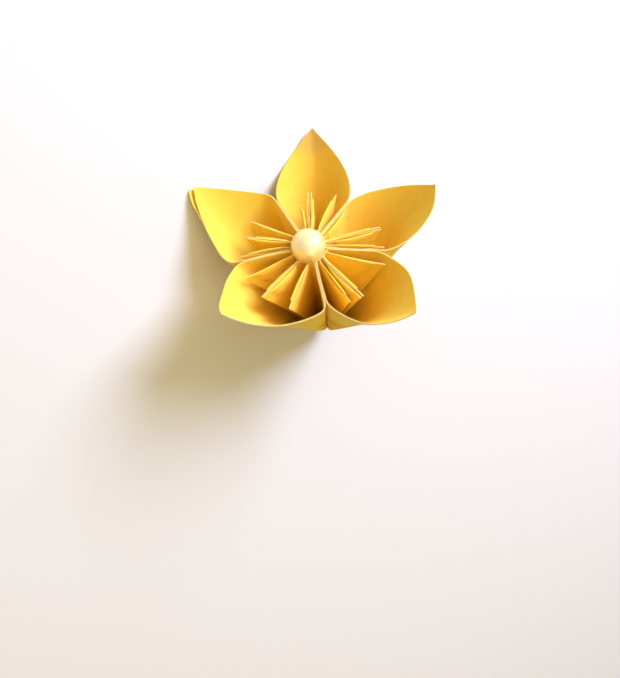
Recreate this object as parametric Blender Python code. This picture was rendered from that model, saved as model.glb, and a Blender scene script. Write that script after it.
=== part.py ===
"""A paper flower: five folded petals glued side by side, with a pearl bead in the middle.

Each petal is one square sheet. Four folds through one point turn it into a cone with an
open cup, and the paper left over stands inside the cup as three doubled fins. The flower
lies on the backs of two petals, as it comes to rest on a table.
All sizes are in metres and all angles in degrees. The flower is first drawn with its
folding point at the origin and its axis along +Z, and then laid down.
"""
import math

import bmesh
import bpy
import numpy as np
from mathutils import Matrix, Vector

# Paper
PAPER_SIDE = 0.090
PAPER_THICK = 0.0002
LAYER_STEP = 1.5 * PAPER_THICK        # middle of one folded layer to the middle of the next
GLUE_GAP = 0.0003                     # between two petals that are glued together

# Folding
HALF_SIDE = PAPER_SIDE / 2            # height of the fins and of the seam above the folding point
FIN_ANGLE = 20.5                      # width of a fin, seen from the folding point
OPENING = 14.6 * LAYER_STEP           # the layers side by side keep the middle this far open
CORNER_FROM, CORNER_TO = 0.20, 0.85   # part of a fin's width that the tucked corner covers

# Heights above the folding point where rows of the mesh lie
POINT_ROW = 0.007
INNER_ROW = 0.011
FIN_ROW = 0.016
TIP_DEPTH = 0.0024                    # how far the closed tip reaches below the lowest row
SHAPE_ROW = 0.050                     # the petal's outline is laid out at this distance
OPENING_AT_FIN_ROW = 0.85             # the opening is a little narrower down there

# Bead
BEAD_RADIUS = 0.0048
BEAD_GAP = 0.00015

# Laying down
LIE_BETWEEN = 110.0                   # direction from the axis to the side that it lies on
LIE_TILT = 57.0                       # first guess of the lean, before it settles
PRESS = 0.00012                       # the paper that touches the table is pressed this flat

# name, direction, half width, straight seam, bend radius, bend turn,
# and heading, curl and bulge of the right, middle and left fin
PETALS = (
    ("petal_top", 79.81, 30.74, 23.12, 6.51, 20.0,
     ((-18.0, -2.0, 0.0009), (2.0, 0.0, 0.0002), (20.0, 2.0, 0.0008))),
    ("petal_left", 144.53, 33.97, 25.69, 4.60, 69.9,
     ((-1.0, 14.0, 0.0008), (18.0, 16.0, 0.0001), (30.0, 4.0, 0.0002))),
    ("petal_lower_left", 223.22, 44.72, 21.38, 4.60, 63.8,
     ((-23.0, 8.0, 0.0010), (-4.0, 3.0, 0.0008), (18.0, 2.0, 0.0010))),
    ("petal_lower_right", 307.86, 39.91, 20.42, 5.56, 33.6,
     ((-27.0, 12.0, 0.0004), (-7.0, 2.0, 0.0007), (26.0, -8.0, 0.0006))),
    ("petal_right", 378.42, 30.65, 23.50, 5.51, 20.5,
     ((-25.0, 4.0, 0.0003), (-8.0, -3.0, 0.0007), (25.5, 2.0, 0.0003))),
)

PAPER_COLOUR = (0.93, 0.62, 0.12, 1.0)
PEARL_COLOUR = (0.93, 0.89, 0.80, 1.0)

WALL_OFFSET = GLUE_GAP / 2 + PAPER_THICK / 2
SEAM_CELLS, BEND_CELLS, CURVE_CELLS = 1, 3, 6


# Looks

def material(name, colour, roughness):
    """A plain Principled material."""
    mat = bpy.data.materials.new(name)
    mat.use_nodes = True
    shader = mat.node_tree.nodes["Principled BSDF"]
    shader.inputs["Base Color"].default_value = colour
    shader.inputs["Roughness"].default_value = roughness
    mat.diffuse_color = colour
    return mat


# The petal wall, drawn on a sphere around the folding point

def step_on_sphere(frame, curvature, length):
    """Moves a frame (place, heading, side) along the sphere with an even curvature."""
    spin = Vector(frame.col[2]) + curvature * Vector(frame.col[0])
    return Matrix.Rotation(spin.magnitude * length, 3, spin) @ frame


def curvature_to_middle(frame, length):
    """The even curvature that brings the wall to the petal's middle plane at its end."""
    low, high = -1.0, 8.0
    for _ in range(40):
        middle = (low + high) / 2
        if step_on_sphere(frame, -middle, length).col[0][1] > 0:
            low = middle
        else:
            high = middle
    return (low + high) / 2


def wall_points(half, straight, bend_radius, bend_turn):
    """Angles along the wall from the seam to the spine, each with its place in the flat chart."""
    half, straight = math.radians(half), math.radians(straight)
    bend_radius, bend = math.radians(bend_radius), math.radians(bend_turn) * math.radians(bend_radius)
    root = OPENING / SHAPE_ROW / math.cos(half)
    total = math.pi / 4 + root - OPENING / SHAPE_ROW * math.tan(half)
    start = Matrix(((0.0, math.cos(half), -math.sin(half)),
                    (0.0, math.sin(half), math.cos(half)),
                    (1.0, 0.0, 0.0)))
    bend_start = step_on_sphere(start, 0.0, straight)
    curve_start = step_on_sphere(bend_start, -1 / bend_radius, bend)
    rest = total - straight - bend
    curvature = curvature_to_middle(curve_start, rest)
    steps = list(np.linspace(root, straight, SEAM_CELLS + 1)[:-1])
    steps += list(np.linspace(straight, straight + bend, BEND_CELLS + 1)[:-1])
    steps += list(np.linspace(straight + bend, total, CURVE_CELLS + 1))
    points = []
    for step in steps:
        if step <= straight:
            place = step_on_sphere(start, 0.0, step).col[0]
        elif step <= straight + bend:
            place = step_on_sphere(bend_start, -1 / bend_radius, step - straight).col[0]
        else:
            place = step_on_sphere(curve_start, -curvature, step - straight - bend).col[0]
        lean = math.acos(min(1.0, place[2]))
        around = math.atan2(place[1], place[0])
        points.append((step - root, lean * np.array((math.cos(around), math.sin(around)))))
    spine_step, spine = points[-1]
    points[-1] = (spine_step, np.array((spine[0], 0.0)))
    return points


# Stations: one for each line of the sheet that runs up from the folding point

def station(ray=(0.0, 0.0), base=(0.0, 0.0), side=(0.0, 0.0), local=(0.0, 0.0),
            from_root=0.0, lowest=FIN_ROW, corner=None):
    """ray grows with the distance; base follows the opening; side and local are plain offsets."""
    return {"ray": np.array(ray, float), "base": np.array(base, float),
            "side": np.array(side, float), "local": np.array(local, float),
            "rim": HALF_SIDE / math.cos(from_root), "from_root": from_root,
            "lowest": lowest, "corner": corner}


def wall_stations(points, half, offset, lowest, root_shift):
    """The wall from the seam to the spine, pushed inwards from the glued plane by offset."""
    tangent_of_half = math.tan(math.radians(half))
    seam_end = points[SEAM_CELLS][0]
    spread = OPENING * tangent_of_half / SHAPE_ROW
    places = np.array([place for _, place in points])
    tangents = np.gradient(places, axis=0)
    tangents /= np.linalg.norm(tangents, axis=1)[:, None]
    result = []
    for index, (step, place) in enumerate(points):
        base = np.array((OPENING, OPENING * tangent_of_half)) * max(0.0, 1 - step / seam_end)
        inward = np.array((tangents[index][1], -tangents[index][0]))
        side = inward * offset
        if index == len(points) - 1:
            side = np.array((-offset, 0.0))
        if index == 0:
            side = side + tangents[0] * root_shift
        result.append(station(ray=place - base / SHAPE_ROW, base=base, side=side,
                              from_root=step + spread, lowest=lowest))
    return result


def fin_path(heading, curl):
    """Ray and sideways direction at each step along a fin, from its root to its fold."""
    width = math.radians(FIN_ANGLE)
    places, sides = [np.zeros(2)], []
    parts = 20
    for part in range(parts + 1):
        angle = math.radians(heading + curl * (part / parts - 0.5))
        sides.append(np.array((-math.sin(angle), math.cos(angle))))
        if part < parts:
            places.append(places[-1] + np.array((math.cos(angle), math.sin(angle))) * width / parts)
    return places, sides


def ply(fin, base, root, fold_root, offset, corner_side, fractions, squeeze=0.0):
    """One layer of a fin, from its root outwards, at a signed offset from the fin's middle.

    squeeze keeps a side fin clear of the wall near the folding point, where they crowd.
    """
    heading, curl, bulge = fin
    places, sides = fin_path(heading, curl)
    result = []
    for fraction in fractions:
        index = round(fraction * (len(places) - 1))
        belly = math.sin(math.pi * fraction) * bulge / SHAPE_ROW
        sign = 1.0 if offset > 0 else -1.0
        corner = None
        if corner_side and CORNER_FROM - 0.01 <= fraction <= CORNER_TO + 0.01:
            corner = sides[index] * corner_side
        local = np.array(root) * (1 - fraction) + np.array(fold_root) * fraction
        fold_base = np.array((0.0, -squeeze))
        ray = places[index] + sides[index] * belly * sign
        ray = ray + (np.array(base) - fold_base) * fraction / SHAPE_ROW
        result.append(station(ray=ray, base=np.array(base) * (1 - fraction) + fold_base * fraction,
                              side=sides[index] * offset, local=local,
                              from_root=fraction * math.radians(FIN_ANGLE), corner=corner))
    return result


def outer_fold(fin, base, root, offset_from, offset_to, squeeze=0.0):
    """The round fold at a fin's outer end, between two layers."""
    heading, curl, _ = fin
    places, sides = fin_path(heading, curl)
    side = sides[-1]
    ahead = np.array((side[1], -side[0]))
    middle = (offset_from + offset_to) / 2
    radius = (offset_from - offset_to) / 2
    result = []
    for turn in (60.0, 120.0):
        swing = side * radius * math.cos(math.radians(turn))
        reach = ahead * abs(radius) * math.sin(math.radians(turn))
        fold_base = np.array((0.0, -squeeze))
        result.append(station(ray=places[-1] + (np.array(base) - fold_base) / SHAPE_ROW,
                              base=fold_base, side=side * middle + swing + reach,
                              local=root, from_root=math.radians(FIN_ANGLE)))
    return result


def half_section(half, wall, middle_fin, side_fin):
    """All stations of one half of a petal, from the outer spine to the inner spine."""
    step = LAYER_STEP
    slope, stretch = math.tan(math.radians(half)), 1 / math.cos(math.radians(half))
    centre = (OPENING, 0.0)
    edge = (OPENING, OPENING * slope)
    inner = WALL_OFFSET + step
    fractions = (0.0, CORNER_FROM, 0.50, CORNER_TO, 1.0)

    outer_wall = wall_stations(wall, half, WALL_OFFSET, POINT_ROW, 0.0)
    inner_wall = wall_stations(wall, half, inner, INNER_ROW, 0.7 * step)

    low = {"lowest": POINT_ROW}
    back_root = [
        station(base=edge, side=(0, -WALL_OFFSET * stretch), local=(0, -step), **low),
        station(base=(OPENING, OPENING * slope / 2), local=(0, -0.2 * step), **low),
        station(base=centre, local=(0, 1.3 * step), **low),
        station(base=centre, local=(0.2 * step, 0.75 * step), **low),
    ]
    start = math.radians(middle_fin[0] - middle_fin[1] / 2)
    near_root = (0.9 * step, 0.0)
    far_root = (near_root[0] + 1.3 * step * math.cos(start), 1.3 * step * math.sin(start))
    flat_fin = (middle_fin[0], middle_fin[1], 0.0)
    glued = ply(flat_fin, centre, near_root, near_root, 0.5 * step, 0, fractions)
    loose = ply(middle_fin, centre, far_root, near_root, 1.5 * step, 1, fractions)
    middle_fold = outer_fold(middle_fin, centre, near_root, 0.5 * step, 1.5 * step)

    share = 0.62
    fin_base = (OPENING, share * OPENING * slope)
    fin_root = 1.5 * step - share * (inner * stretch + 1.5 * step)
    side_root = (1.5 * step, fin_root)
    squeeze = 2.7 * step
    near = ply(side_fin, fin_base, side_root, side_root, -0.5 * step, -1, fractions, squeeze)
    far = ply(side_fin, fin_base, side_root, side_root, 0.5 * step, 0, fractions, squeeze)
    side_fold = outer_fold(side_fin, fin_base, side_root, -0.5 * step, 0.5 * step, squeeze)

    valley = [
        station(base=centre, local=(1.45 * step, 1.65 * step)),
        station(base=centre, local=(1.17 * step, 2.2 * step)),
        station(base=fin_base, local=(1.17 * step, fin_root - 0.85 * step)),
    ]
    front_root = [
        station(base=fin_base, local=(1.07 * step, fin_root + step)),
        station(base=edge, side=(0, -inner * stretch), local=(step, step * (slope - 0.8))),
    ]
    return (outer_wall[::-1] + back_root + glued + middle_fold + loose[::-1] + valley
            + near + side_fold + far[::-1] + front_root + inner_wall)


def mirrored(item):
    """The same station on the other half of the petal."""
    flip = np.array((1.0, -1.0))
    twin = dict(item)
    for key in ("ray", "base", "side", "local"):
        twin[key] = item[key] * flip
    if item["corner"] is not None:
        twin["corner"] = item["corner"] * flip
    return twin


def mirrored_fin(fin):
    heading, curl, bulge = fin
    return (-heading, -curl, bulge)


# From stations to a sheet

def opening_share(distance):
    """How wide the middle opening is at a distance from the folding point, against its rim."""
    if distance < FIN_ROW:
        return OPENING_AT_FIN_ROW * distance / FIN_ROW
    share = (distance - FIN_ROW) / (HALF_SIDE - FIN_ROW)
    return min(1.0, OPENING_AT_FIN_ROW + (1 - OPENING_AT_FIN_ROW) * share)


def place_on_petal(item, distance, extra=(0.0, 0.0)):
    """The point of a station at a distance from the folding point, petal's middle along +X."""
    shrink = min(1.0, distance / INNER_ROW)
    flat = (item["ray"] * distance + item["base"] * opening_share(distance)
            + item["side"] + item["local"] * shrink + np.array(extra))
    lean = np.linalg.norm(flat) / distance
    around = math.atan2(flat[1], flat[0])
    return Vector((distance * math.sin(lean) * math.cos(around),
                   distance * math.sin(lean) * math.sin(around),
                   distance * math.cos(lean)))


def place_on_line(item, distance, extra):
    """The same, on the straight line between the lowest row of a fin and its rim."""
    share = (distance - FIN_ROW) / (item["rim"] - FIN_ROW)
    low = place_on_petal(item, FIN_ROW, extra)
    return low.lerp(place_on_petal(item, item["rim"], extra), share)


def corner_bottom(item):
    """Lower edge of the tucked corner of the square, which lies in the valley of the fins."""
    angle = item["from_root"] * 22.5 / FIN_ANGLE
    return PAPER_SIDE * (1 - math.sqrt(0.5)) / (math.cos(angle) - math.sin(angle))


def petal_section(half, wall_shape, fins):
    """The closed ring of stations of one petal."""
    wall = wall_points(half, *wall_shape)
    right, middle, left = fins
    left_half = half_section(half, wall, middle, left)
    right_half = half_section(half, wall, mirrored_fin(middle), mirrored_fin(right))
    right_half = [mirrored(item) for item in right_half]
    return left_half, right_half[1:-1][::-1]


def sheet_mesh(left_half, right_half):
    """The middle surface of one folded sheet, as a bmesh."""
    ring = left_half + right_half
    sheet = bmesh.new()
    columns = []
    for item in ring:
        rows = [row for row in (POINT_ROW, INNER_ROW, FIN_ROW) if row >= item["lowest"] - 1e-9]
        rows.append(item["rim"])
        columns.append([sheet.verts.new(place_on_petal(item, row)) for row in rows])
    for index, column in enumerate(columns):
        join_columns(sheet, column, columns[(index + 1) % len(columns)])
    close_point(sheet, columns, len(left_half))
    tuck_corners(sheet, ring, columns)
    sheet.normal_update()
    return sheet


def join_columns(sheet, first, second):
    """Faces between two neighbouring columns, counted down from the rim."""
    shared = min(len(first), len(second))
    for row in range(1, shared):
        sheet.faces.new((first[-row], first[-row - 1], second[-row - 1], second[-row]))


def close_point(sheet, columns, count_left):
    """Closes the cone below the fins: a strip at the seam, and the point itself."""
    outer = [index for index, column in enumerate(columns) if len(column) == 4]
    left = [index for index in outer if index < count_left]
    right = [index for index in outer if index >= count_left]
    around = left + right
    first, second = columns[left[-1]], columns[right[0]]
    sheet.faces.new((first[1], first[0], second[0], second[1]))
    middle = sum((columns[index][0].co for index in around), Vector()) / len(around)
    tip = sheet.verts.new(middle * (1 - TIP_DEPTH / middle.length))
    for index, current in enumerate(around):
        follower = around[(index + 1) % len(around)]
        sheet.faces.new((columns[current][0], tip, columns[follower][0]))


def tuck_corners(sheet, ring, columns):
    """The corner of the square, folded down into the valley beside each fin."""
    previous, rows_before = None, None
    for index, item in enumerate(ring):
        if item["corner"] is None:
            previous = None
            continue
        way = item["corner"] * LAYER_STEP
        rim = item["rim"]
        rows = [columns[index][-1],
                sheet.verts.new(place_on_petal(item, rim + LAYER_STEP / 2, way * 0.5)),
                sheet.verts.new(place_on_petal(item, rim - LAYER_STEP / 3, way)),
                sheet.verts.new(place_on_line(item, corner_bottom(item), way))]
        if previous == index - 1:
            for row in range(3):
                sheet.faces.new((rows_before[row + 1], rows_before[row], rows[row], rows[row + 1]))
        previous, rows_before = index, rows


# Laying the flower down

def height_of_centre(direction, points, centre):
    """How high the centre of mass lies when the flower lies with this direction down."""
    return float((points @ direction).max() - centre @ direction)


def settle(points, centre):
    """The direction that points down once the flower has come to rest."""
    around, lean = math.radians(LIE_BETWEEN), math.radians(LIE_TILT)

    def down(first, second):
        return np.array((math.sin(second) * math.cos(first), math.sin(second) * math.sin(first),
                         -math.cos(second)))

    reach = math.radians(4.0)
    best = height_of_centre(down(around, lean), points, centre)
    while reach > math.radians(0.002):
        moved = False
        for turn in range(8):
            first = around + reach * math.cos(turn * math.pi / 4)
            second = lean + reach * math.sin(turn * math.pi / 4)
            height = height_of_centre(down(first, second), points, centre)
            if height < best - 1e-9:
                around, lean, best, moved = first, second, height, True
                break
        if not moved:
            reach *= 0.6
    return Vector(down(around, lean))


def resting_frame(sheets):
    """The rotation that lays the flower down, facing -Y."""
    points = np.array([tuple(vert.co) for sheet in sheets for vert in sheet.verts])
    weights = np.zeros(3)
    area = 0.0
    for sheet in sheets:
        for face in sheet.faces:
            weights += np.array(face.calc_center_median()) * face.calc_area()
            area += face.calc_area()
    down = settle(points, weights / area)
    up = -down
    front = Vector((0.0, 0.0, 1.0))
    front = (front - up * front.dot(up)).normalized()
    right = (-front).cross(up)
    return Matrix((right, -front, up))


def press_flat(sheets, inner_marks):
    """Flattens the paper that touches the table, layer by layer."""
    lowest = min(vert.co.z for sheet in sheets for vert in sheet.verts)
    for sheet, marks in zip(sheets, inner_marks):
        for vert in sheet.verts:
            vert.co.z -= lowest + PRESS - PAPER_THICK / 2
            floor = PAPER_THICK / 2 + (LAYER_STEP if vert.index in marks else 0.0)
            vert.co.z = max(vert.co.z, floor)


def inner_wall_marks(left_half, right_half, sheet):
    """The vertices of the inner wall, which lies on the outer wall."""
    sheet.verts.index_update()
    marks = set()
    count = 0
    for item in left_half + right_half:
        rows = 1 + sum(row >= item["lowest"] - 1e-9 for row in (POINT_ROW, INNER_ROW, FIN_ROW))
        if abs(item["lowest"] - INNER_ROW) < 1e-9:
            marks.update(range(count, count + rows))
        count += rows
    return marks


# Objects

def sheet_object(name, sheet, mat):
    """One folded sheet with the thickness of the paper."""
    mesh = bpy.data.meshes.new(name)
    sheet.to_mesh(mesh)
    sheet.free()
    mesh.materials.append(mat)
    obj = bpy.data.objects.new(name, mesh)
    bpy.context.scene.collection.objects.link(obj)
    thickness = obj.modifiers.new("paper", "SOLIDIFY")
    thickness.thickness = PAPER_THICK
    thickness.offset = 0.0
    thickness.use_even_offset = True
    thickness.use_quality_normals = True
    return obj


def bead_object(centre, mat):
    """The pearl, which sits in the opening between the fins."""
    ball = bmesh.new()
    bmesh.ops.create_uvsphere(ball, u_segments=28, v_segments=18, radius=BEAD_RADIUS)
    bmesh.ops.translate(ball, verts=ball.verts, vec=centre)
    mesh = bpy.data.meshes.new("pearl_bead")
    ball.to_mesh(mesh)
    ball.free()
    mesh.materials.append(mat)
    obj = bpy.data.objects.new("pearl_bead", mesh)
    bpy.context.scene.collection.objects.link(obj)
    return obj


def bead_height():
    """Height above the folding point where the bead touches the edge of the opening."""
    reach = BEAD_RADIUS + BEAD_GAP
    edge = OPENING - PAPER_THICK / 2
    return HALF_SIDE + math.sqrt(max(reach * reach - edge * edge, 0.0))


def main():
    for obj in list(bpy.data.objects):
        bpy.data.objects.remove(obj)
    sheets, marks = [], []
    for name, direction, half, straight, radius, turn, fins in PETALS:
        halves = petal_section(half, (straight, radius, turn), fins)
        sheet = sheet_mesh(*halves)
        marks.append(inner_wall_marks(*halves, sheet))
        bmesh.ops.rotate(sheet, verts=sheet.verts, matrix=Matrix.Rotation(math.radians(direction), 3, "Z"))
        sheets.append(sheet)
    rest = resting_frame(sheets)
    for sheet in sheets:
        bmesh.ops.transform(sheet, verts=sheet.verts, matrix=rest.to_4x4())
    lowest = min(vert.co.z for sheet in sheets for vert in sheet.verts)
    press_flat(sheets, marks)
    bead = rest @ Vector((0.0, 0.0, bead_height()))
    bead.z -= lowest + PRESS - PAPER_THICK / 2
    xs = [vert.co.x for sheet in sheets for vert in sheet.verts]
    ys = [vert.co.y for sheet in sheets for vert in sheet.verts]
    shift = Vector((-(min(xs) + max(xs)) / 2, -(min(ys) + max(ys)) / 2, 0.0))
    for sheet, petal in zip(sheets, PETALS):
        bmesh.ops.translate(sheet, verts=sheet.verts, vec=shift)
        sheet_object(petal[0], sheet, material(petal[0] + "_paper", PAPER_COLOUR, 0.7))
    bead_object(bead + shift, material("pearl_bead", PEARL_COLOUR, 0.25))


main()
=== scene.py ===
"""Looks of the folded paper flower.

The five petals are folded again here with the same folds as the CAD part, but from much
finer meshes: paper that waves a little, layers and tucked corners that spring apart at the
rims, soft creases and light cut edges. Lengths are in metres and angles in degrees, except
where a comment says mm. A petal is first drawn with the folding point at the origin and the
flower's axis along +Z, and then laid down.
"""

import math

import bmesh
import bpy
import numpy as np
from mathutils import Matrix, Vector, noise


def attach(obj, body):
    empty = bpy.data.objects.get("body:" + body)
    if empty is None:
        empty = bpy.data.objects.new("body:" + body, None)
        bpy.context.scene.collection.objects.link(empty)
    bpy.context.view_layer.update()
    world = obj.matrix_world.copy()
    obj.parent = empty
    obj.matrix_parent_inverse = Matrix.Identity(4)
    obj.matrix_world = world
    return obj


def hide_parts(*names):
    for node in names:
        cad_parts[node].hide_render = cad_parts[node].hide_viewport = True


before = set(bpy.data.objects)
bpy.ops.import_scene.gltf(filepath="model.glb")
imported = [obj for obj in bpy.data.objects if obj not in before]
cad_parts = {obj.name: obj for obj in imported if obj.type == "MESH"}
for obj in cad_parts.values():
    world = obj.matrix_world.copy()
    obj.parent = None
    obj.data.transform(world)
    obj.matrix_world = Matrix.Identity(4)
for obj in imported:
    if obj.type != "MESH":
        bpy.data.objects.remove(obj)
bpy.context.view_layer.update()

# Paper and folding, as in the CAD part
PAPER_SIDE = 0.0905
PAPER_THICK = 0.00012
LAYER_STEP = 0.00017                  # drawn tighter than in the CAD part, which needs its gaps
HALF_SIDE = PAPER_SIDE / 2
WALL_OFFSET = 0.00011                 # from the plane where two petals are glued to the paper
WALL_SPRING = 0.00006                 # how far the inner layer of a wall stands off at the rim
SPRING_AT_SEAM = 0.15                 # how far along its swing that spring is at the seam
OPENING = 0.0041                      # from the flower's axis to a petal's middle fin, at the rim
OPENING_AT_FIN_ROW = 0.85             # the same at the lowest row of the fins, as a share
TIP_DEPTH = 0.0024                    # how far the folding point is blunted

# Distances from the folding point: where the outer wall, the inner wall and the fins begin, and
# where the plan of the folds is drawn
POINT_ROW, INNER_ROW, FIN_ROW = 0.007, 0.011, 0.016
SHAPE_ROW = 0.050

# The fins: how much lower one layer ends than the other and how much of that it has at its root,
# how much of the opening lies between the middle fin and a side fin, and how many layers a side
# fin's fold is drawn in
FIN_STAGGER, STAGGER_AT_ROOT = 0.0008, 0.08
SIDE_FIN_SHARE = 0.62
FOLD_SQUEEZE = 2.7

# The tucked corners: the part of a fin that they cover, how far they spring off at the rim in
# layers, how they turn over the rim as (rise, way across) in layers, and how they settle
CORNER_FROM, CORNER_TO = 0.20, 0.85
CORNER_SPRING, CORNER_SPRING_REACH = 1.6, 0.3
CORNER_FOLD = ((0.45, 0.2), (0.6, 0.5), (0.45, 0.8), (-0.2, 1.0))
CORNER_SHARES = (0.95, 0.85, 0.75, 0.6, 0.3, -0.3)
CORNER_ANGLE = 22.5

# The joint between the two lower petals: where it is, how far it leans and over which angle
JOINT_AT, JOINT_LEAN, JOINT_REACH = 270.0, 6.5, 20.0
# How far the folding point sits to one side
POINT_SHIFT = Vector((0.0033, 0.0, -0.0002))

# Where fingers pressed the paper a little out of its even shape: place, reach and way, in mm,
# before the flower is laid down
PRESSES = (
    ((35.0, 6.5, 47.2), 8.0, (0.83, -0.47, -0.24)),
    ((37.4, 12.5, 50.2), 6.0, (-0.58, -0.44, -0.28)),
    ((-20.0, 0.0, 44.7), 7.0, (-0.16, -0.93, -0.56)),
    ((-24.8, -20.5, 53.0), 8.0, (-1.06, 0.33, 0.15)),
    ((-13.0, -24.0, 48.3), 9.0, (-0.10, -0.55, -0.33)),
    ((23.0, -14.0, 46.0), 9.0, (1.14, 0.44, 0.31)),
    ((12.0, -28.0, 47.5), 11.0, (-0.12, -0.68, -0.41)),
    ((22.5, -28.9, 52.4), 6.0, (0.07, -0.45, -0.26)),
    ((6.8, 38.0, 51.0), 6.0, (-0.46, 0.24, 0.12)),
    ((0.4, -5.8, 45.0), 2.6, (0.09, 0.60, 0.30)),
    ((5.4, -1.4, 45.0), 2.4, (-0.55, 0.15, 0.05)),
)
# The outer layer of the left petal stands off at the tip
LOOSE_TIP = ((-29.5, 20.0, 51.2), 5.5, (-1.19, -0.53, 0.05))

# Darker marks on the paper as it lies, two of them painted shade: place and size in mm, strength,
# colour
MARKS_AND_PAINTED_SHADE = (
    ((3.1, 25.8, 11.0), (2.6, 4.0, 5.0), 0.75, (0.42, 0.14, 0.01)),
    # Painted shade along the joint of the two lower petals
    ((5.0, 19.0, 18.5), (4.5, 13.0, 13.0), 0.8, (0.66, 0.34, 0.02)),
    ((-14.5, -3.5, 16.2), (0.7, 0.7, 1.6), 0.50, (0.42, 0.27, 0.10)),
    # Painted shadow over the tip of the top petal, where it lies on the floor
    ((-20.8, -25.0, 1.5), (9.0, 9.0, 9.0), 0.6, (0.70, 0.48, 0.18)),
)

# How much of the wall, as an angle, takes part in the rounding of a petal's back, how fast the
# rounding grows from the lowest row of the fins up, and how much of the tip stays in place
ROUND_REACH, ROUND_GROWTH = 9.0, 2.2
HELD_TIP = 0.8
# How far along the rim, as an angle, a tip curls or peels, and how closely it keeps to the rim
TIP_REACH, TIP_SHARPNESS = 5.5, 9

# Waves in the paper: how long and how high, broad ones and fine ones; they begin above the lowest
# row of the fins and above the floor, and reach their height over these distances
BROAD_WAVE, FINE_WAVE = (0.016, 0.00030), (0.006, 0.00006)
FINE_WAVE_SHIFT = Vector((5.0, 1.0, 3.0))
WAVE_REACH, WAVE_ABOVE_FLOOR = 0.035, 0.004
WAVE_SEED = 14

# Edges that turn more than this are cut edges, not folds
CUT_ANGLE = 70.0

# How finely the sheet is drawn
SEAM_CELLS, BEND_CELLS, CURVE_CELLS = 5, 8, 26
FRACTIONS = (0.0, 0.1, 0.2, 0.3, 0.4, 0.5, 0.6, 0.7, 0.8, 0.85, 0.9, 0.95, 1.0)
FIN_PARTS = 20
FOLD_TURNS = (30.0, 60.0, 90.0, 120.0, 150.0)
UPPER_ROWS, ROW_CROWDING = 16, 1.3    # rows from the fins' lowest row up, closer near the rim

# Bead: its size and place, how much it is flattened and out of true, and the air around it
BEAD_RADIUS = 0.0048
BEAD_PLACE = Vector((-0.00065, -0.00040, 0.0467))
BEAD_HEIGHT_SHARE = 0.99
BEAD_BUMP_LENGTH, BEAD_BUMP = 0.004, 0.00003
BEAD_AIR = 0.00008

# The flower as it lies: turned by REST, then moved by SHIFT
REST = Matrix(((-0.87823093, -0.47823694, 0.0),
               (0.26204747, -0.48122209, -0.83651447),
               (0.40005213, -0.73465282, 0.54794484)))
SHIFT = Vector((0.00299378, 0.03210218, -0.00026783))

# Camera: where the photograph was taken from, found by fitting the fold geometry to it. Directions
# and place are in the frame of the flower before it is laid down.
PHOTO_WIDTH, FOCAL_PIXELS, SENSOR_WIDTH = 620, 838.12, 36.0
CAMERA_RIGHT = (0.988352, -0.145588, -0.044319)
CAMERA_UP = (0.147831, 0.849312, 0.506769)
CAMERA_PLACE = (-0.012168, -0.137437, 0.229817)

# Lamps: direction as right, up and back of the camera, distance, size, power and colour
LAMPS = {
    "key": ((0.655, 0.515, 0.552), 0.7, 0.40, 6.0, (0.95, 1.0, 1.30)),
    "fill": ((0.2, 0.30, 0.93), 0.9, 0.8, 2.5, (1.0, 0.79, 0.38)),
    "bounce": ((0.42, -0.62, 0.66), 0.8, 0.8, 2.3, (1.0, 0.70, 0.24)),
}
LAMP_TARGET = Vector((0.0, 0.0, 0.025))
WORLD_LIGHT, WORLD_STRENGTH = (1.0, 0.86, 0.60), 0.25
BACKDROP, BACKDROP_STRENGTH = (0.80, 0.80, 0.79), 1.0
FLOOR_SIZE = 4.0

# Colours
YELLOW_PAPER = (0.99, 0.645, 0.085)
CUT_EDGE = (0.98, 0.82, 0.30)
# The pearl's cream is partly its own colour and partly painted reflection of the yellow paper,
# which makes it golden
PEARL_CREAM_AND_REFLECTION = (0.94, 0.81, 0.40)
FLOOR = (0.74, 0.77, 0.82)

# Each petal: its direction, half width, straight seam, bend radius and bend turn; how round its
# back is; how its tip curls in; how far its outer layer peels off and falls short at the tip; how
# far its middle fin splits; and heading, curl, bulge and width of the right, middle and left fin
PETALS = {
    "petal_top": dict(
        direction=79.81, half=30.74, wall=(23.12, 6.51, 20.0), roundness=0.15,
        tip_curl=0.0012, peel=0.0, short=0.0, split=1.1,
        fins=((-18.0, -2.0, 0.00006, 20.5), (3.5, 0.0, 0.00004, 20.5), (11.0, 2.0, 0.00003, 15.0))),
    "petal_left": dict(
        direction=144.53, half=33.97, wall=(25.69, 4.60, 69.9), roundness=1.0,
        tip_curl=0.0, peel=0.0003, short=0.0004, split=0.0,
        fins=((-1.0, 14.0, 0.0003, 19.5), (14.5, 14.0, 0.0001, 18.0), (30.0, 4.0, 0.0001, 18.2))),
    "petal_lower_left": dict(
        direction=223.22, half=44.72, wall=(21.38, 4.60, 63.8), roundness=0.7,
        tip_curl=0.0, peel=0.0, short=0.0, split=0.0,
        fins=((-28.0, 8.0, 0.0002, 18.0), (-4.0, 3.0, 0.0002, 19.0), (17.0, 2.0, 0.0001, 18.0))),
    "petal_lower_right": dict(
        direction=307.86, half=39.91, wall=(20.42, 5.56, 33.6), roundness=0.5,
        tip_curl=0.0, peel=0.0, short=0.0, split=1.2,
        fins=((-14.0, 4.0, 0.00012, 18.5), (-7.0, 2.0, 0.00015, 20.0), (29.0, -8.0, 0.0003, 19.5))),
    "petal_right": dict(
        direction=378.42, half=30.65, wall=(23.50, 5.51, 20.5), roundness=0.5,
        tip_curl=0.0, peel=0.0, short=0.0, split=0.8,
        fins=((-27.0, 4.0, 0.0002, 19.5), (-8.0, -3.0, 0.0004, 20.5), (32.0, 2.0, 0.0001, 16.0))),
}


# Materials

def new_material(name, colour, roughness):
    mat = bpy.data.materials.new(name)
    mat.use_nodes = True
    shader = mat.node_tree.nodes["Principled BSDF"]
    shader.inputs["Base Color"].default_value = (*colour, 1.0)
    shader.inputs["Roughness"].default_value = roughness
    mat.diffuse_color = (*colour, 1.0)
    return mat, mat.node_tree.nodes, mat.node_tree.links, shader


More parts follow.
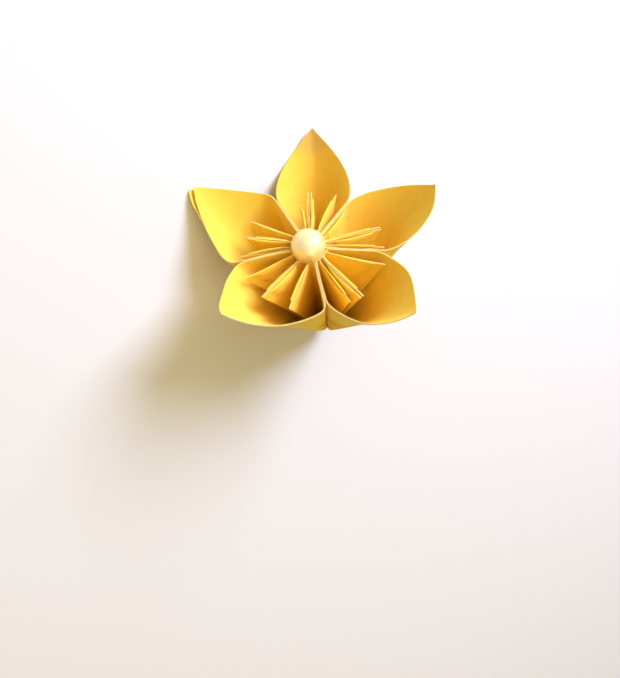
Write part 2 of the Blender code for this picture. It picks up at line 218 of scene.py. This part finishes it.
def noise_node(nodes, links, place, scale, detail, roughness=0.5):
    node = nodes.new("ShaderNodeTexNoise")
    node.inputs["Scale"].default_value = scale
    node.inputs["Detail"].default_value = detail
    node.inputs["Roughness"].default_value = roughness
    links.new(place, node.inputs["Vector"])
    return node.outputs["Fac"]


def math_node(nodes, links, operation, *values):
    node = nodes.new("ShaderNodeMath")
    node.operation = operation
    for socket, value in zip(node.inputs, values):
        if isinstance(value, (int, float)):
            socket.default_value = value
        else:
            links.new(value, socket)
    return node.outputs[0]


def vector_node(nodes, links, operation, first, second=None):
    node = nodes.new("ShaderNodeVectorMath")
    node.operation = operation
    links.new(first, node.inputs[0])
    if second is not None:
        node.inputs[1].default_value = second
    return node.outputs["Value" if operation == "LENGTH" else "Vector"]


def colour_ramp(nodes, links, value, stops):
    node = nodes.new("ShaderNodeValToRGB")
    ramp = node.color_ramp
    while len(ramp.elements) < len(stops):
        ramp.elements.new(0.5)
    for element, (position, colour) in zip(ramp.elements, stops):
        element.position = position
        element.color = (*colour, 1.0)
    links.new(value, node.inputs["Fac"])
    return node.outputs["Color"]


def mark_and_shade(nodes, links, place, tint):
    """Dark marks and painted shade: each darkens the paper softly around its place."""
    for spot, stretch, strength, colour in MARKS_AND_PAINTED_SHADE:
        away = vector_node(nodes, links, "SUBTRACT", place, Vector(spot) / 1000)
        scaled = vector_node(nodes, links, "MULTIPLY", away, [1000 / size for size in stretch])
        fade = nodes.new("ShaderNodeMapRange")
        fade.interpolation_type = "SMOOTHSTEP"
        fade.inputs["From Min"].default_value = 1.0
        fade.inputs["From Max"].default_value = 0.2
        fade.inputs["To Max"].default_value = strength
        links.new(vector_node(nodes, links, "LENGTH", scaled), fade.inputs["Value"])
        mix = nodes.new("ShaderNodeMix")
        mix.data_type = "RGBA"
        links.new(fade.outputs["Result"], mix.inputs["Factor"])
        first_colour, second_colour = mix.inputs[6], mix.inputs[7]
        links.new(tint, first_colour)
        second_colour.default_value = (*colour, 1.0)
        tint = mix.outputs[2]
    return tint


def paper_material(name, colour):
    """Matt coloured paper: clouded fibre, fine tooth, dark marks and painted shade, a little light
    through the sheet.
    """
    mat, nodes, links, shader = new_material(name, colour, 0.5)
    place = nodes.new("ShaderNodeTexCoord").outputs["Object"]
    cloud = noise_node(nodes, links, place, 420.0, 4.0, 0.6)
    fibre = noise_node(nodes, links, place, 2600.0, 3.0, 0.65)
    mixed = math_node(nodes, links, "MULTIPLY_ADD", fibre, 0.5, cloud)
    dark = tuple(c * k for c, k in zip(colour, (0.96, 0.93, 0.80)))
    light = tuple(min(1.0, c * k) for c, k in zip(colour, (1.02, 1.05, 1.25)))
    tint = colour_ramp(nodes, links, mixed, ((0.45, dark), (1.05, light)))
    # Dark spots, painted shade and painted shadow are mixed into the paper's colour here
    links.new(mark_and_shade(nodes, links, place, tint), shader.inputs["Base Color"])
    tooth = nodes.new("ShaderNodeBump")
    tooth.inputs["Strength"].default_value = 0.35
    tooth.inputs["Distance"].default_value = 0.00004
    links.new(mixed, tooth.inputs["Height"])
    links.new(tooth.outputs["Normal"], shader.inputs["Normal"])
    rough = math_node(nodes, links, "MULTIPLY_ADD", fibre, 0.25, 0.38)
    links.new(rough, shader.inputs["Roughness"])
    shader.inputs["Specular IOR Level"].default_value = 0.0
    shader.inputs["Sheen Weight"].default_value = 0.02
    shader.inputs["Sheen Roughness"].default_value = 0.4
    shader.inputs["Subsurface Weight"].default_value = 0.45
    shader.inputs["Subsurface Radius"].default_value = (1.0, 1.0, 1.0)
    shader.inputs["Subsurface Scale"].default_value = 0.0003
    return mat


def pearl_material():
    """Imitation pearl: a clouded cream body under a clear coat, golden in part from painted
    reflection of the yellow paper and more golden still towards its outline from a painted sheen.
    """
    mat, nodes, links, shader = new_material("pearl_nacre", PEARL_CREAM_AND_REFLECTION, 0.28)
    place = nodes.new("ShaderNodeTexCoord").outputs["Object"]
    cloud = noise_node(nodes, links, place, 260.0, 3.0)
    # Painted sheen: the colour turns more golden towards the pearl's outline as the surface turns
    # away from the view
    sheen_facing = nodes.new("ShaderNodeLayerWeight")
    sheen_facing.inputs["Blend"].default_value = 0.35
    cloud_and_painted_sheen = math_node(nodes, links, "MULTIPLY_ADD", cloud, 0.3, sheen_facing.outputs["Facing"])
    tint = colour_ramp(nodes, links, cloud_and_painted_sheen, (
        (0.10, (0.93, 0.80, 0.42)), (0.45, PEARL_CREAM_AND_REFLECTION),
        (0.75, (0.97, 0.83, 0.36)), (1.0, (0.98, 0.84, 0.32))))
    links.new(tint, shader.inputs["Base Color"])
    shader.inputs["Specular IOR Level"].default_value = 0.6
    shader.inputs["Metallic"].default_value = 0.3
    shader.inputs["Coat Weight"].default_value = 1.0
    shader.inputs["Coat Roughness"].default_value = 0.14
    shader.inputs["Subsurface Weight"].default_value = 0.25
    shader.inputs["Subsurface Radius"].default_value = (1.0, 0.8, 0.6)
    shader.inputs["Subsurface Scale"].default_value = 0.0015
    return mat


# The petal wall, drawn on a sphere around the folding point

def step_on_sphere(place_frame, curvature, length):
    """Moves a frame (place, heading, side) along the sphere with an even curvature."""
    spin = Vector(place_frame.col[2]) + curvature * Vector(place_frame.col[0])
    return Matrix.Rotation(spin.magnitude * length, 3, spin) @ place_frame


def curvature_to_middle(place_frame, length):
    """The even curvature that brings the wall to the petal's middle plane at its end."""
    low, high = -1.0, 8.0
    for _ in range(40):
        middle = (low + high) / 2
        if step_on_sphere(place_frame, -middle, length).col[0][1] > 0:
            low = middle
        else:
            high = middle
    return (low + high) / 2


def wall_points(half, straight, bend_radius, bend_turn):
    """Angles along the wall from the seam to the spine, each with its place in the flat chart."""
    half, straight, bend_radius = (math.radians(value) for value in (half, straight, bend_radius))
    bend = math.radians(bend_turn) * bend_radius
    root = OPENING / SHAPE_ROW / math.cos(half)
    total = math.pi / 4 + root - OPENING / SHAPE_ROW * math.tan(half)
    start = Matrix(((0.0, math.cos(half), -math.sin(half)),
                    (0.0, math.sin(half), math.cos(half)),
                    (1.0, 0.0, 0.0)))
    bend_start = step_on_sphere(start, 0.0, straight)
    curve_start = step_on_sphere(bend_start, -1 / bend_radius, bend)
    curvature = curvature_to_middle(curve_start, total - straight - bend)
    steps = list(np.linspace(root, straight, SEAM_CELLS + 1)[:-1])
    steps += list(np.linspace(straight, straight + bend, BEND_CELLS + 1)[:-1])
    steps += list(np.linspace(straight + bend, total, CURVE_CELLS + 1))
    points = []
    for step in steps:
        if step <= straight:
            place = step_on_sphere(start, 0.0, step).col[0]
        elif step <= straight + bend:
            place = step_on_sphere(bend_start, -1 / bend_radius, step - straight).col[0]
        else:
            place = step_on_sphere(curve_start, -curvature, step - straight - bend).col[0]
        lean = math.acos(min(1.0, place[2]))
        around = math.atan2(place[1], place[0])
        points.append((step - root, lean * np.array((math.cos(around), math.sin(around)))))
    spine_step, spine = points[-1]
    points[-1] = (spine_step, np.array((spine[0], 0.0)))
    return points


# Stations: one for each line of the sheet that runs up from the folding point

def station(ray=(0.0, 0.0), base=(0.0, 0.0), side=(0.0, 0.0), local=(0.0, 0.0),
            from_root=0.0, lowest=FIN_ROW, corner=None, flare=(0.0, 0.0), drawn_in=(0.0, 0.0),
            tip=(0.0, 0.0), short=0.0, fraction=0.0):
    """ray grows with the distance; base follows the opening; side and local are plain offsets.

    flare opens a layer towards its rim, tip bends it only close to the rim, and drawn_in is a
    ray that rounds the back of the petal.
    """
    return {"ray": np.array(ray, float), "base": np.array(base, float),
            "side": np.array(side, float), "local": np.array(local, float),
            "flare": np.array(flare, float), "drawn_in": np.array(drawn_in, float),
            "tip": np.array(tip, float), "rim": HALF_SIDE / math.cos(from_root) - short,
            "fraction": fraction, "lowest": lowest, "corner": corner}


def wall_stations(points, half, offset, lowest, root_shift, spring, tip_bend, short):
    """The wall from the seam to the spine, pushed inwards from the glued plane by offset."""
    tangent_of_half = math.tan(math.radians(half))
    seam_end = points[SEAM_CELLS][0]
    spread = OPENING * tangent_of_half / SHAPE_ROW
    places = np.array([place for _, place, _ in points])
    tangents = np.gradient(places, axis=0)
    tangents /= np.linalg.norm(tangents, axis=1)[:, None]
    result = []
    for index, (step, place, move) in enumerate(points):
        base = np.array((OPENING, OPENING * tangent_of_half)) * max(0.0, 1 - step / seam_end)
        inward = np.array((tangents[index][1], -tangents[index][0]))
        side = inward * offset
        if index == len(points) - 1:
            side = np.array((-offset, 0.0))
        along = step / points[-1][0]
        swing = SPRING_AT_SEAM + (1 - SPRING_AT_SEAM) * along
        flare = inward * spring * math.sin(math.pi * min(1.0, swing)) ** 2
        near_tip = math.exp(-((points[-1][0] - step) / math.radians(TIP_REACH)) ** 2)
        if index == 0:
            side = side + tangents[0] * root_shift
            flare = flare * 0
        result.append(station(ray=place - base / SHAPE_ROW, base=base, side=side, drawn_in=move,
                              from_root=step + spread, lowest=lowest, flare=flare,
                              tip=np.array((-near_tip * tip_bend, 0.0)), short=near_tip * short))
    return result


def fin_path(heading, curl, width):
    """Ray and sideways direction at each step along a fin, from its root to its fold."""
    width = math.radians(width)
    places, sides = [np.zeros(2)], []
    for part in range(FIN_PARTS + 1):
        angle = math.radians(heading + curl * (part / FIN_PARTS - 0.5))
        ahead = np.array((math.cos(angle), math.sin(angle)))
        sides.append(np.array((-ahead[1], ahead[0])))
        if part < FIN_PARTS:
            places.append(places[-1] + ahead * width / FIN_PARTS)
    return places, sides


def ply(fin, base, root, fold_root, offset, corner_side, squeeze=0.0, lower=0.0):
    """One layer of a fin, from its root outwards, at a signed offset from the fin's middle."""
    heading, curl, bulge, width = fin
    places, sides = fin_path(heading, curl, width)
    result = []
    for fraction in FRACTIONS:
        index = round(fraction * (len(places) - 1))
        belly = math.sin(math.pi * fraction) * bulge / SHAPE_ROW
        sign = 1.0 if offset > 0 else -1.0
        corner = None
        if corner_side and CORNER_FROM - 0.01 <= fraction <= CORNER_TO + 0.01:
            corner = sides[index] * corner_side
        local = np.array(root) * (1 - fraction) + np.array(fold_root) * fraction
        fold_base = np.array((0.0, -squeeze))
        ray = places[index] + sides[index] * belly * sign
        ray = ray + (np.array(base) - fold_base) * fraction / SHAPE_ROW
        swing = STAGGER_AT_ROOT + (1 - STAGGER_AT_ROOT) * fraction
        short = lower * math.sin(math.pi * min(1.0, swing))
        result.append(station(ray=ray, base=np.array(base) * (1 - fraction) + fold_base * fraction,
                              side=sides[index] * offset, local=local, short=max(0.0, short),
                              from_root=fraction * math.radians(width), corner=corner,
                              fraction=fraction))
    return result


def outer_fold(fin, base, root, offset_from, offset_to, squeeze=0.0):
    """The round fold at a fin's outer end, between two layers."""
    heading, curl, _, width = fin
    places, sides = fin_path(heading, curl, width)
    side = sides[-1]
    ahead = np.array((side[1], -side[0]))
    middle = (offset_from + offset_to) / 2
    radius = (offset_from - offset_to) / 2
    result = []
    for turn in FOLD_TURNS:
        swing = side * radius * math.cos(math.radians(turn))
        reach = ahead * abs(radius) * math.sin(math.radians(turn))
        fold_base = np.array((0.0, -squeeze))
        result.append(station(ray=places[-1] + (np.array(base) - fold_base) / SHAPE_ROW,
                              base=fold_base, side=side * middle + swing + reach,
                              local=root, from_root=math.radians(width)))
    return result


def half_section(shape, wall, middle_fin, side_fin, spring):
    """All stations of one half of a petal, from the outer spine to the inner spine.

    The offsets in steps, one step a layer, lead the layers past one another at the roots of the
    fins, as in the CAD part.
    """
    step, half = LAYER_STEP, shape["half"]
    slope, stretch = math.tan(math.radians(half)), 1 / math.cos(math.radians(half))
    centre = (OPENING, 0.0)
    edge = (OPENING, OPENING * slope)
    inner = WALL_OFFSET + step
    curl, peel = shape["tip_curl"], shape["peel"]
    outer_wall = wall_stations(wall, half, WALL_OFFSET, POINT_ROW, 0.0, 0.0, curl, shape["short"])
    inner_wall = wall_stations(wall, half, inner, INNER_ROW, 0.7 * step, spring, curl + peel, 0.0)
    low = {"lowest": POINT_ROW}
    back_root = [
        station(base=edge, side=(0, -WALL_OFFSET * stretch), local=(0, -step), **low),
        station(base=(OPENING, OPENING * slope / 2), local=(0, -0.2 * step), **low),
        station(base=centre, local=(0, 1.3 * step), **low),
        station(base=centre, local=(0.2 * step, 0.75 * step), **low),
    ]
    start = math.radians(middle_fin[0] - middle_fin[1] / 2)
    near_root = (0.9 * step, 0.0)
    far_root = (near_root[0] + 1.3 * step * math.cos(start), 1.3 * step * math.sin(start))
    flat_fin = (middle_fin[0], middle_fin[1], 0.0, middle_fin[3])
    glued = ply(flat_fin, centre, near_root, near_root, 0.5 * step, 0)
    loose = ply(middle_fin, centre, far_root, near_root, 1.5 * step, 1, lower=0.5 * FIN_STAGGER)
    middle_fold = outer_fold(middle_fin, centre, near_root, 0.5 * step, 1.5 * step)
    fin_base = (OPENING, SIDE_FIN_SHARE * OPENING * slope)
    fin_root = 1.5 * step - SIDE_FIN_SHARE * (inner * stretch + 1.5 * step)
    side_root = (1.5 * step, fin_root)
    squeeze = FOLD_SQUEEZE * step
    near = ply(side_fin, fin_base, side_root, side_root, -0.5 * step, -1, squeeze)
    far = ply(side_fin, fin_base, side_root, side_root, 0.5 * step, 0, squeeze, FIN_STAGGER)
    side_fold = outer_fold(side_fin, fin_base, side_root, -0.5 * step, 0.5 * step, squeeze)
    valley = [
        station(base=centre, local=(1.45 * step, 1.65 * step)),
        station(base=centre, local=(1.17 * step, 2.2 * step)),
        station(base=fin_base, local=(1.17 * step, fin_root - 0.85 * step)),
    ]
    front_root = [
        station(base=fin_base, local=(1.07 * step, fin_root + step)),
        station(base=edge, side=(0, -inner * stretch), local=(step, step * (slope - 0.8))),
    ]
    return (outer_wall[::-1] + back_root + glued + middle_fold + loose[::-1] + valley
            + near + side_fold + far[::-1] + front_root + inner_wall)


def mirrored(item):
    """The same station on the other half of the petal."""
    flip = np.array((1.0, -1.0))
    twin = dict(item)
    for key in ("ray", "base", "side", "local", "flare", "drawn_in", "tip"):
        twin[key] = item[key] * flip
    if item["corner"] is not None:
        twin["corner"] = item["corner"] * flip
    return twin


def mirrored_fin(fin):
    heading, curl, bulge, width = fin
    return (-heading, -curl, bulge, width)


def turned_fin(fin, angle):
    heading, curl, bulge, width = fin
    return (heading + angle, curl, bulge, width)


# From stations to a sheet

def opening_share(distance):
    """How wide the middle opening is at a distance from the folding point, against its rim."""
    if distance < FIN_ROW:
        return OPENING_AT_FIN_ROW * distance / FIN_ROW
    share = (distance - FIN_ROW) / (HALF_SIDE - FIN_ROW)
    return min(1.0, OPENING_AT_FIN_ROW + (1 - OPENING_AT_FIN_ROW) * share)


def place_on_petal(item, distance, extra=(0.0, 0.0)):
    """The point of a station at a distance from the folding point, petal's middle along +X."""
    shrink = min(1.0, distance / INNER_ROW)
    flat = (item["ray"] * distance + item["base"] * opening_share(distance)
            + item["side"] + item["local"] * shrink + np.array(extra))
    lean = np.linalg.norm(flat) / distance
    around = math.atan2(flat[1], flat[0])
    return Vector((distance * math.sin(lean) * math.cos(around),
                   distance * math.sin(lean) * math.sin(around),
                   distance * math.cos(lean)))


def place_on_line(item, distance, extra=(0.0, 0.0)):
    """The same, on the straight line between the lowest row of a fin and its rim."""
    share = (distance - FIN_ROW) / (item["rim"] - FIN_ROW)
    low = place_on_petal(item, FIN_ROW, extra)
    opened = np.array(extra) + item["flare"] * share + item["tip"] * share ** TIP_SHARPNESS
    moved = item["drawn_in"] * distance * min(1.0, ROUND_GROWTH * share)
    return low.lerp(place_on_petal(item, item["rim"], opened), share) + Vector((*moved, 0.0))


def corner_bottom(item):
    """Lower edge of the tucked corner of the square, which lies in the valley of the fins."""
    angle = math.radians(CORNER_ANGLE) * item["fraction"]
    return PAPER_SIDE * (1 - math.sqrt(0.5)) / (math.cos(angle) - math.sin(angle))


def rounded_back(points, straight, roundness):
    """How far each wall point moves where the back of the petal is round instead of creased."""
    angles = np.array([step for step, _ in points])
    places = np.array([place for _, place in points])
    reach = math.radians(ROUND_REACH)
    end = angles[-1]
    twins = np.concatenate([places, places[::-1] * (1, -1)])
    twin_angles = np.concatenate([angles, 2 * end - angles[::-1]])
    moves = []
    for angle, place in zip(angles, places):
        weights = np.exp(-((twin_angles - angle) / reach) ** 2) * np.gradient(twin_angles)
        weights *= np.abs(twin_angles - angle) < 3 * reach
        mean = (twins * weights[:, None]).sum(axis=0) / weights.sum()
        near_spine = max(0.0, 1 - (end - angle) / (2.5 * reach))
        moves.append((mean - place) * roundness * min(1.0, near_spine * 1.6))
    spine_move = moves[-1]
    for index, angle in enumerate(angles):
        share = max(0.0, (angle - math.radians(straight)) / (end - math.radians(straight)))
        moves[index] = moves[index] - spine_move * share * share * (3 - 2 * share) * HELD_TIP
    return moves


def petal_section(shape, spring):
    """The closed ring of stations of one petal."""
    wall = wall_points(shape["half"], *shape["wall"])
    moves = rounded_back(wall, shape["wall"][0], shape["roundness"])
    wall = [(step, place, move) for (step, place), move in zip(wall, moves)]
    right, middle, left = shape["fins"]
    left_middle = turned_fin(middle, shape["split"])
    right_middle = mirrored_fin(turned_fin(middle, -shape["split"]))
    left_half = half_section(shape, wall, left_middle, left, spring)
    right_half = half_section(shape, wall, right_middle, mirrored_fin(right), spring)
    right_half = [mirrored(item) for item in right_half]
    return left_half, right_half[1:-1][::-1]


def sheet_mesh(left_half, right_half):
    """The middle surface of one folded sheet, as a bmesh."""
    ring = left_half + right_half
    sheet = bmesh.new()
    columns = []
    for item in ring:
        column = [sheet.verts.new(place_on_petal(item, row))
                  for row in (POINT_ROW, INNER_ROW) if row >= item["lowest"] - 1e-9]
        for part in range(UPPER_ROWS + 1):
            share = 1 - (1 - part / UPPER_ROWS) ** ROW_CROWDING
            distance = FIN_ROW + share * (item["rim"] - FIN_ROW)
            column.append(sheet.verts.new(place_on_line(item, distance)))
        columns.append(column)
    for index, column in enumerate(columns):
        join_columns(sheet, column, columns[(index + 1) % len(columns)])
    close_point(sheet, columns, len(left_half))
    tuck_corners(sheet, ring, columns)
    sheet.normal_update()
    inner = [vert for item, column in zip(ring, columns) for vert in column
             if abs(item["lowest"] - INNER_ROW) < 1e-9]
    outer = [vert for item, column in zip(ring, columns) for vert in column
             if abs(item["lowest"] - POINT_ROW) < 1e-9]
    return sheet, inner, outer


def join_columns(sheet, first, second):
    """Faces between two neighbouring columns, counted down from the rim."""
    for row in range(1, min(len(first), len(second))):
        sheet.faces.new((first[-row], first[-row - 1], second[-row - 1], second[-row]))


def close_point(sheet, columns, count_left):
    """Closes the cone below the fins: a strip at the seam, and the point itself."""
    outer = [index for index, column in enumerate(columns) if len(column) == UPPER_ROWS + 3]
    left = [index for index in outer if index < count_left]
    right = [index for index in outer if index >= count_left]
    around = left + right
    first, second = columns[left[-1]], columns[right[0]]
    sheet.faces.new((first[1], first[0], second[0], second[1]))
    middle = sum((columns[index][0].co for index in around), Vector()) / len(around)
    tip = sheet.verts.new(middle * (1 - TIP_DEPTH / middle.length))
    for index, current in enumerate(around):
        follower = around[(index + 1) % len(around)]
        sheet.faces.new((columns[current][0], tip, columns[follower][0]))


def tuck_corners(sheet, ring, columns):
    """The corner of the square, folded down into the valley beside each fin."""
    previous, rows_before = None, None
    for index, item in enumerate(ring):
        if item["corner"] is None:
            previous = None
            continue
        way = item["corner"] * LAYER_STEP
        rim = item["rim"]
        along = max(0.0, item["fraction"] - CORNER_FROM) / CORNER_SPRING_REACH
        loose = 1 + CORNER_SPRING * min(1.0, along)
        at_side = item["fraction"] > CORNER_TO - 0.01
        rows = [columns[index][-1]]
        for rise, share in CORNER_FOLD:
            rows.append(sheet.verts.new(place_on_petal(
                item, rim + LAYER_STEP * rise, way * loose * share + item["flare"])))
        bottom = corner_bottom(item)
        for part, share in enumerate(CORNER_SHARES, 1):
            distance = rim + (bottom - rim) * part / len(CORNER_SHARES)
            share = CORNER_SHARES[-1] if at_side else share * (loose if share > 0 else 1.0)
            rows.append(sheet.verts.new(place_on_line(item, distance, way * share)))
        if previous == index - 1:
            for row in range(len(rows) - 1):
                sheet.faces.new((rows_before[row + 1], rows_before[row], rows[row], rows[row + 1]))
        previous, rows_before = index, rows


# Life in the paper

def lean_joint(sheet):
    """The two lower petals are glued a little askew: their joint leans to one side."""
    for vert in sheet.verts:
        around = math.degrees(math.atan2(vert.co.y, vert.co.x)) % 360
        turn = JOINT_LEAN * math.exp(-((around - JOINT_AT) / JOINT_REACH) ** 2)
        vert.co = Matrix.Rotation(math.radians(turn), 3, "Z") @ vert.co


def shift_point(sheet):
    """The folding point sits a little to one side of the flower's axis."""
    for vert in sheet.verts:
        share = max(0.0, 1 - vert.co.length / HALF_SIDE)
        vert.co += POINT_SHIFT * share


def press(verts, place, reach, way):
    """Moves the paper softly to one side around a place; all three values in mm."""
    for vert in verts:
        distance = (vert.co - Vector(place) / 1000).length * 1000
        vert.co += Vector(way) / 1000 * math.exp(-(distance / reach) ** 2)


def seat_bead(sheet):
    """The paper gives way where the bead is pressed into it."""
    for vert in sheet.verts:
        away = vert.co - BEAD_PLACE
        reach = BEAD_RADIUS + BEAD_AIR
        if away.length < reach:
            flat = Vector((away.x, away.y, 0.0))
            wanted = math.sqrt(max(reach * reach - away.z * away.z, 0.0))
            vert.co += flat.normalized() * (wanted - flat.length)


def wave_paper(sheet):
    """Soft waves that all layers follow together, growing towards the rims."""
    for vert in sheet.verts:
        distance = vert.co.length
        height = (REST @ vert.co + SHIFT).z
        if distance < FIN_ROW:
            continue
        share = min(1.0, (distance - FIN_ROW) / WAVE_REACH)
        share *= min(1.0, max(0.0, height) / WAVE_ABOVE_FLOOR)
        broad = noise.noise_vector(vert.co / BROAD_WAVE[0])
        fine = noise.noise_vector(vert.co / FINE_WAVE[0] + FINE_WAVE_SHIFT)
        vert.co += (broad * BROAD_WAVE[1] + fine * FINE_WAVE[1]) * share * share


def petal_object(name, shape, mats):
    """One folded sheet with the thickness of the paper, laid down with the flower."""
    sheet, inner, outer = sheet_mesh(*petal_section(shape, WALL_SPRING))
    turn = Matrix.Rotation(math.radians(shape["direction"]), 3, "Z")
    bmesh.ops.rotate(sheet, verts=sheet.verts, matrix=turn)
    lean_joint(sheet)
    shift_point(sheet)
    for place, reach, way in PRESSES:
        press(sheet.verts, place, reach, way)
    if name == "petal_left":
        press(outer, *LOOSE_TIP)
    wave_paper(sheet)
    seat_bead(sheet)
    for vert in sheet.verts:
        vert.co = REST @ vert.co + SHIFT
        vert.co.z = max(vert.co.z, PAPER_THICK / 2)
    for vert in inner:
        vert.co.z = max(vert.co.z, PAPER_THICK / 2 + LAYER_STEP)
    mesh = bpy.data.meshes.new(name + "_sheet")
    sheet.to_mesh(mesh)
    sheet.free()
    for mat in mats:
        mesh.materials.append(mat)
    mesh.shade_smooth()
    obj = bpy.data.objects.new(name + "_sheet", mesh)
    bpy.context.scene.collection.objects.link(obj)
    thickness = obj.modifiers.new("paper", "SOLIDIFY")
    thickness.thickness = PAPER_THICK
    thickness.offset = 0.0
    thickness.use_quality_normals = True
    thickness.material_offset_rim = 1
    solid = obj.evaluated_get(bpy.context.evaluated_depsgraph_get())
    obj.data = bpy.data.meshes.new_from_object(solid)
    obj.modifiers.clear()
    obj.data.set_sharp_from_angle(angle=math.radians(CUT_ANGLE))
    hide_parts(name)
    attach(obj, "root")
    return obj


def pearl_object(mat):
    """The pearl: a ball that is a little out of true, as such beads are."""
    ball = bmesh.new()
    bmesh.ops.create_icosphere(ball, subdivisions=6, radius=BEAD_RADIUS)
    for vert in ball.verts:
        bump = noise.noise(vert.co / BEAD_BUMP_LENGTH) * BEAD_BUMP
        vert.co *= 1 + bump / BEAD_RADIUS
        vert.co.z *= BEAD_HEIGHT_SHARE
        vert.co += BEAD_PLACE
        vert.co = REST @ vert.co + SHIFT
    mesh = bpy.data.meshes.new("pearl")
    ball.to_mesh(mesh)
    ball.free()
    mesh.materials.append(mat)
    mesh.shade_smooth()
    obj = bpy.data.objects.new("pearl", mesh)
    bpy.context.scene.collection.objects.link(obj)
    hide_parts("pearl_bead")
    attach(obj, "root")


# Studio

def to_row(vector):
    return REST @ Vector(vector)


def add_camera():
    """The camera at its place, and its directions: right, up and back."""
    data = bpy.data.cameras.new("camera")
    data.sensor_fit = "HORIZONTAL"
    data.sensor_width = SENSOR_WIDTH
    data.lens = FOCAL_PIXELS / PHOTO_WIDTH * SENSOR_WIDTH
    data.clip_start = 0.01
    camera = bpy.data.objects.new("camera", data)
    bpy.context.scene.collection.objects.link(camera)
    right, up = to_row(CAMERA_RIGHT), to_row(CAMERA_UP)
    back = right.cross(up)
    turned = Matrix((right, up, back)).transposed().to_4x4()
    place = to_row(CAMERA_PLACE) + SHIFT
    camera.matrix_world = Matrix.Translation(place) @ turned
    bpy.context.scene.camera = camera
    return right, up, back


def add_lamp(name, direction, distance, size, power, colour):
    data = bpy.data.lights.new(name, "AREA")
    data.shape = "DISK"
    data.size = size
    data.energy = power
    data.color = colour
    lamp = bpy.data.objects.new(name, data)
    bpy.context.scene.collection.objects.link(lamp)
    direction = Vector(direction).normalized()
    lamp.location = LAMP_TARGET + direction * distance
    lamp.rotation_euler = direction.to_track_quat("Z", "Y").to_euler()


def add_floor():
    bpy.ops.mesh.primitive_plane_add(size=FLOOR_SIZE, location=(0.0, 0.0, 0.0))
    floor = bpy.context.object
    floor.name = "floor"
    floor.data.materials.append(new_material("floor", FLOOR, 0.8)[0])


def add_world():
    """Warm light from all round; the camera and the pearl's coat see a pale backdrop instead."""
    world = bpy.data.worlds.new("studio")
    bpy.context.scene.world = world
    world.use_nodes = True
    nodes, links = world.node_tree.nodes, world.node_tree.links
    light = nodes["Background"]
    light.inputs["Color"].default_value = (*WORLD_LIGHT, 1.0)
    light.inputs["Strength"].default_value = WORLD_STRENGTH
    backdrop = nodes.new("ShaderNodeBackground")
    backdrop.inputs["Color"].default_value = (*BACKDROP, 1.0)
    backdrop.inputs["Strength"].default_value = BACKDROP_STRENGTH
    path = nodes.new("ShaderNodeLightPath")
    seen = math_node(nodes, links, "MAXIMUM", path.outputs["Is Camera Ray"],
                     path.outputs["Is Glossy Ray"])
    mix = nodes.new("ShaderNodeMixShader")
    links.new(seen, mix.inputs["Fac"])
    links.new(light.outputs["Background"], mix.inputs[1])
    links.new(backdrop.outputs["Background"], mix.inputs[2])
    links.new(mix.outputs["Shader"], nodes["World Output"].inputs["Surface"])


noise.seed_set(WAVE_SEED)
paper = paper_material("yellow_paper", YELLOW_PAPER)
cut_edge = paper_material("paper_edge", CUT_EDGE)
for petal, petal_shape in PETALS.items():
    petal_object(petal, petal_shape, (paper, cut_edge))
pearl_object(pearl_material())

right, up, back = add_camera()
for lamp_name, (way, *rest_of_lamp) in LAMPS.items():
    add_lamp(lamp_name, right * way[0] + up * way[1] + back * way[2], *rest_of_lamp)
add_floor()
add_world()
bpy.context.scene.view_settings.view_transform = "Standard"
